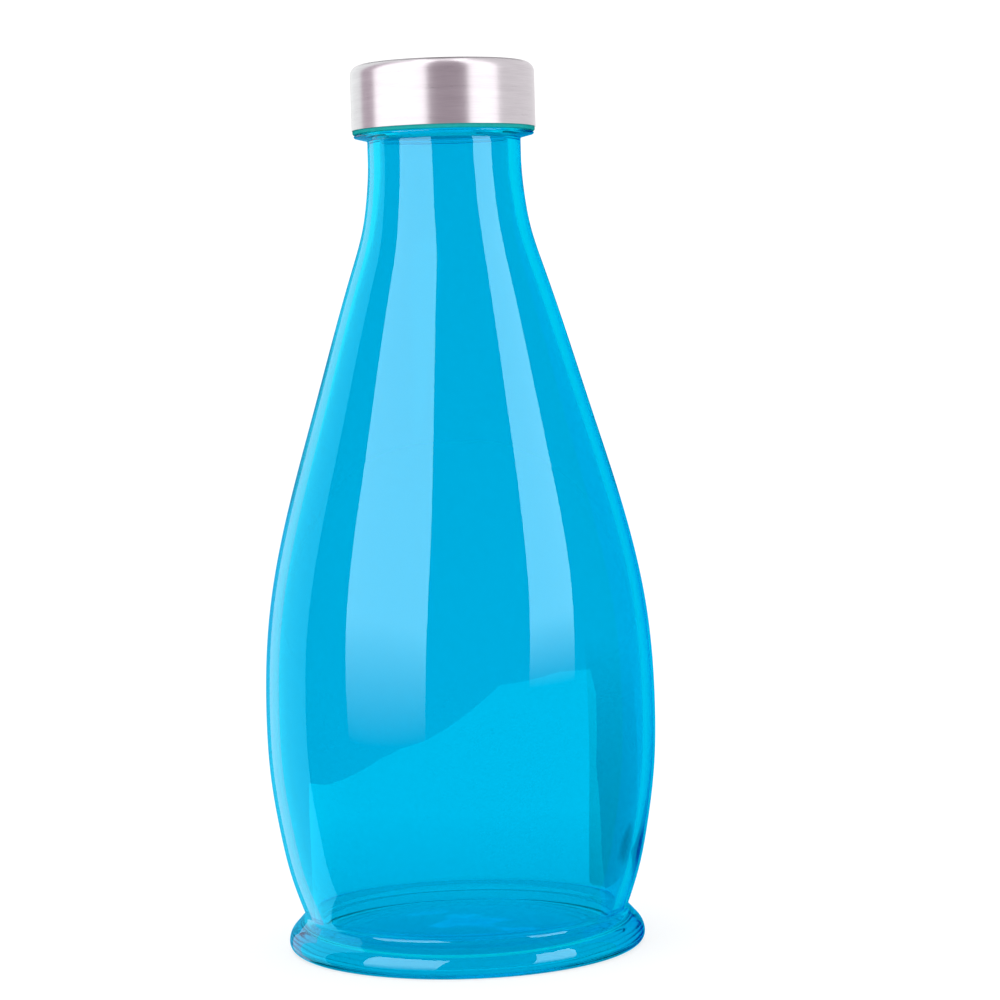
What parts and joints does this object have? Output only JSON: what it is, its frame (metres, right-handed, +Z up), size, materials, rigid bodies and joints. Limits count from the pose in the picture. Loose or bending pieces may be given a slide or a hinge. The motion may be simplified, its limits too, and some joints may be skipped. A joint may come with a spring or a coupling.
{
  "type": "glass water bottle",
  "caption": "Tinted clear glass water bottle: flared foot, belly tapering to a short neck, and a steel screw cap with a threaded plastic insert and a silicone seal.",
  "frame": {"origin": "on the bottle's axis, at the level of the flat ring that the foot rests on", "axes": "+Z up along the bottle's axis, from the foot to the cap; the bottle is round, so +X and +Y are free"},
  "size_m": [0.1084, 0.1084, 0.245],
  "materials": {
    "tinted_glass": "clear cyan-blue glass, polished",
    "steel": "fine brushed stainless steel",
    "insert_plastic": "translucent teal moulded polypropylene",
    "silicone": "milky silicone"
  },
  "bodies": {
    "bottle": {"glass_bottle": "tinted_glass"},
    "seal": {"sealing_ring": "silicone"},
    "cap": {"cap_shell": "steel", "cap_insert": "insert_plastic"}
  },
  "joints": [
    {"name": "cap_lift", "type": "slide", "parent": "bottle", "child": "seal", "axis": [0, 0, 1], "range_m": [0, 0.02]},
    {"name": "cap_turn", "type": "hinge", "parent": "seal", "child": "cap", "pos_m": [0, 0, 0.236], "axis": [0, 0, 1], "range_deg": [0, 900]}
  ],
  "couplings": [
    {"joint": "cap_lift", "follows": "cap_turn", "m_per_rad": 0.0012732}
  ]
}
